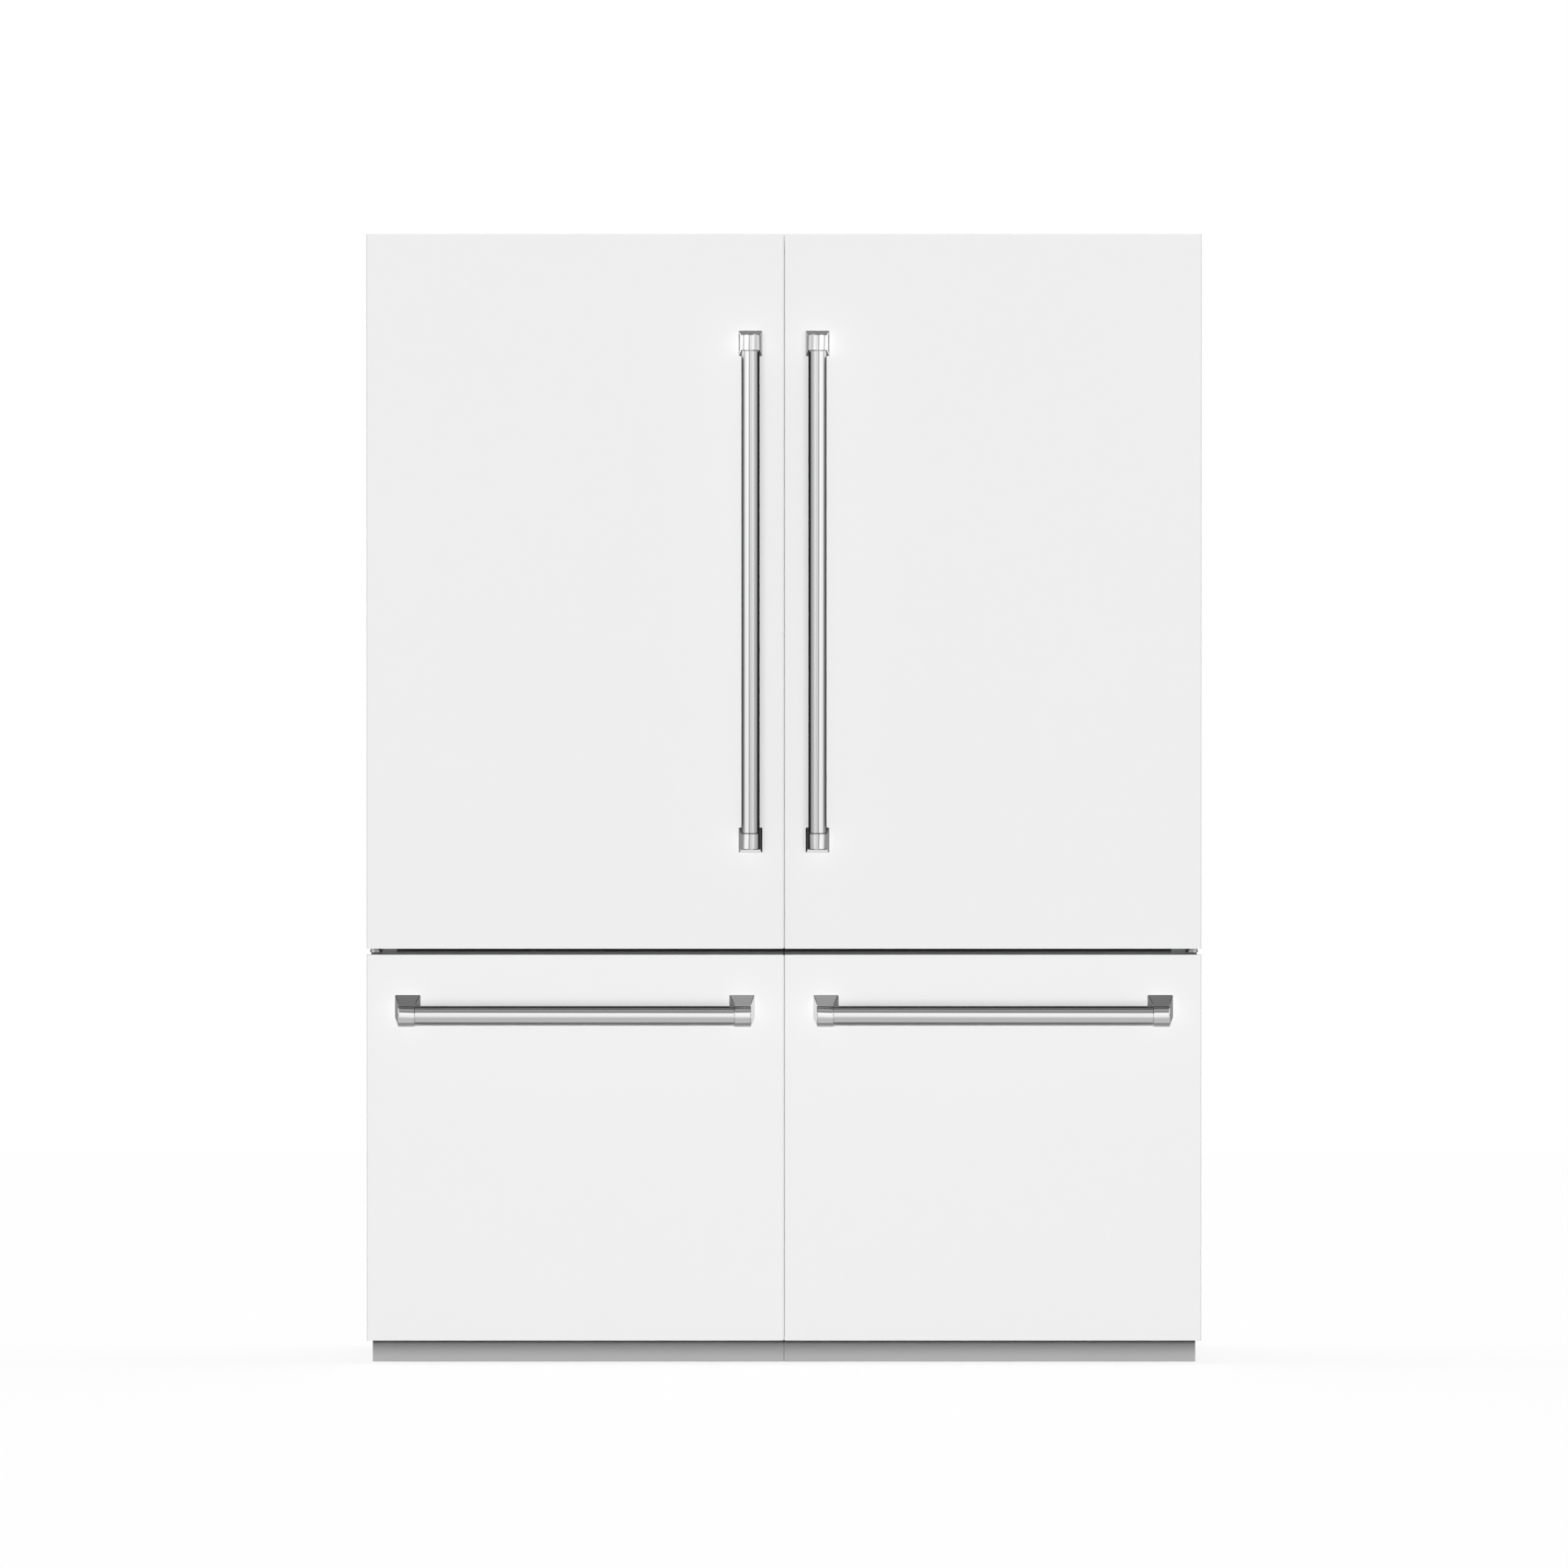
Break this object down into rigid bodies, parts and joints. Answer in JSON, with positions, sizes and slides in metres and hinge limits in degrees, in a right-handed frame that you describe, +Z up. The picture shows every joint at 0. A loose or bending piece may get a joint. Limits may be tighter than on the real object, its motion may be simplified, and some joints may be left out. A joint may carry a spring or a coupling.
{
  "type": "french door refrigerator",
  "caption": "Built-in french door refrigerator: hinged refrigerator doors above pull-out freezer drawers, bar handles on tapered brackets, recessed toe kick.",
  "frame": {"origin": "on the floor at the middle of the object's width and depth", "axes": "+Z up; the doors and handles face -Y and the back faces +Y; +X to the right seen from the front"},
  "size_m": [1.524, 0.6983, 2.062],
  "materials": {
    "casing": "satin",
    "foam": "matte",
    "liner": "satin",
    "back_cover": "satin",
    "plinth": "satin",
    "foot": "satin",
    "hinge_steel": "satin",
    "slide_steel": "satin",
    "shelf_glass": "gloss",
    "shelf_trim": "satin",
    "duct": "satin",
    "coil": "satin",
    "condenser": "matte",
    "black_plastic": "satin",
    "fan_plastic": "satin",
    "compressor_black": "gloss",
    "pan": "matte",
    "light": "matte",
    "front_white": "satin",
    "case_grey": "matte",
    "gasket": "matte",
    "clear_plastic": "gloss",
    "basket": "satin",
    "handle_steel": "satin",
    "bracket_steel": "polished"
  },
  "bodies": {
    "cabinet": {"left_casing": "casing", "right_casing": "casing", "insulation_foam": "foam", "fridge_liners": "liner", "freezer_liners": "liner", "machine_covers": "back_cover", "toe_kicks": "plinth", "levelling_feet": "foot", "hinge_brackets": "hinge_steel", "outer_slide_rails": "slide_steel", "glass_shelves": "shelf_glass", "shelf_frames": "shelf_trim", "duct_covers": "duct", "evaporators": "coil", "condensers": "condenser", "fan_mounts": "black_plastic", "compressors": "compressor_black", "drain_pans": "pan", "light_bars": "light", "power_inlets": "black_plastic"},
    "left_door": {"left_door_panel": "front_white", "left_door_case": "case_grey", "left_door_liner": "liner", "left_door_gasket": "gasket", "left_door_bins": "clear_plastic", "left_door_handle_bar": "handle_steel", "left_door_handle_brackets": "bracket_steel"},
    "left_drawer": {"left_drawer_panel": "front_white", "left_drawer_case": "case_grey", "left_drawer_gasket": "gasket", "left_drawer_frame": "slide_steel", "left_drawer_basket": "basket", "left_drawer_handle_bar": "handle_steel", "left_drawer_handle_brackets": "bracket_steel"},
    "left_middle_rails": {"left_middle_rails": "slide_steel"},
    "left_ice_tray": {"left_ice_tray": "clear_plastic"},
    "left_outer_crisper": {"left_outer_crisper": "clear_plastic"},
    "left_inner_crisper": {"left_inner_crisper": "clear_plastic"},
    "left_condenser_fan": {"left_condenser_fan": "fan_plastic"},
    "left_freezer_fan": {"left_freezer_fan": "fan_plastic"},
    "right_door": {"right_door_panel": "front_white", "right_door_case": "case_grey", "right_door_liner": "liner", "right_door_gasket": "gasket", "right_door_bins": "clear_plastic", "right_door_handle_bar": "handle_steel", "right_door_handle_brackets": "bracket_steel"},
    "right_drawer": {"right_drawer_panel": "front_white", "right_drawer_case": "case_grey", "right_drawer_gasket": "gasket", "right_drawer_frame": "slide_steel", "right_drawer_basket": "basket", "right_drawer_handle_bar": "handle_steel", "right_drawer_handle_brackets": "bracket_steel"},
    "right_middle_rails": {"right_middle_rails": "slide_steel"},
    "right_ice_tray": {"right_ice_tray": "clear_plastic"},
    "right_outer_crisper": {"right_outer_crisper": "clear_plastic"},
    "right_inner_crisper": {"right_inner_crisper": "clear_plastic"},
    "right_condenser_fan": {"right_condenser_fan": "fan_plastic"},
    "right_freezer_fan": {"right_freezer_fan": "fan_plastic"}
  },
  "joints": [
    {"name": "left_door_hinge", "type": "hinge", "parent": "cabinet", "child": "left_door", "pos_m": [-0.747, -0.24485, 0], "axis": [0, 0, -1], "range_deg": [0, 110]},
    {"name": "left_drawer_slide", "type": "slide", "parent": "cabinet", "child": "left_drawer", "axis": [0, -1, 0], "range_m": [0, 0.39]},
    {"name": "left_middle_rail_slide", "type": "slide", "parent": "cabinet", "child": "left_middle_rails", "axis": [0, -1, 0], "range_m": [0, 0.195]},
    {"name": "left_ice_tray_slide", "type": "slide", "parent": "left_drawer", "child": "left_ice_tray", "axis": [0, 1, 0], "range_m": [0, 0.17]},
    {"name": "left_outer_crisper_slide", "type": "slide", "parent": "cabinet", "child": "left_outer_crisper", "axis": [0, -1, 0], "range_m": [0, 0.09]},
    {"name": "left_inner_crisper_slide", "type": "slide", "parent": "cabinet", "child": "left_inner_crisper", "axis": [0, -1, 0], "range_m": [0, 0.09]},
    {"name": "left_condenser_fan_spin", "type": "hinge", "parent": "cabinet", "child": "left_condenser_fan", "pos_m": [-0.5021, 0.25295, 0.15], "axis": [1, 0, 0], "continuous": true},
    {"name": "left_freezer_fan_spin", "type": "hinge", "parent": "cabinet", "child": "left_freezer_fan", "pos_m": [-0.3779, 0.23765, 0.6205], "axis": [0, 1, 0], "continuous": true},
    {"name": "right_door_hinge", "type": "hinge", "parent": "cabinet", "child": "right_door", "pos_m": [0.747, -0.24485, 0], "axis": [0, 0, 1], "range_deg": [0, 110]},
    {"name": "right_drawer_slide", "type": "slide", "parent": "cabinet", "child": "right_drawer", "axis": [0, -1, 0], "range_m": [0, 0.39]},
    {"name": "right_middle_rail_slide", "type": "slide", "parent": "cabinet", "child": "right_middle_rails", "axis": [0, -1, 0], "range_m": [0, 0.195]},
    {"name": "right_ice_tray_slide", "type": "slide", "parent": "right_drawer", "child": "right_ice_tray", "axis": [0, 1, 0], "range_m": [0, 0.17]},
    {"name": "right_outer_crisper_slide", "type": "slide", "parent": "cabinet", "child": "right_outer_crisper", "axis": [0, -1, 0], "range_m": [0, 0.09]},
    {"name": "right_inner_crisper_slide", "type": "slide", "parent": "cabinet", "child": "right_inner_crisper", "axis": [0, -1, 0], "range_m": [0, 0.09]},
    {"name": "right_condenser_fan_spin", "type": "hinge", "parent": "cabinet", "child": "right_condenser_fan", "pos_m": [0.5021, 0.25295, 0.15], "axis": [-1, 0, 0], "continuous": true},
    {"name": "right_freezer_fan_spin", "type": "hinge", "parent": "cabinet", "child": "right_freezer_fan", "pos_m": [0.3779, 0.23765, 0.6205], "axis": [0, 1, 0], "continuous": true}
  ],
  "couplings": [
    {"joint": "left_middle_rail_slide", "follows": "left_drawer_slide", "ratio": 0.5},
    {"joint": "right_middle_rail_slide", "follows": "right_drawer_slide", "ratio": 0.5}
  ]
}
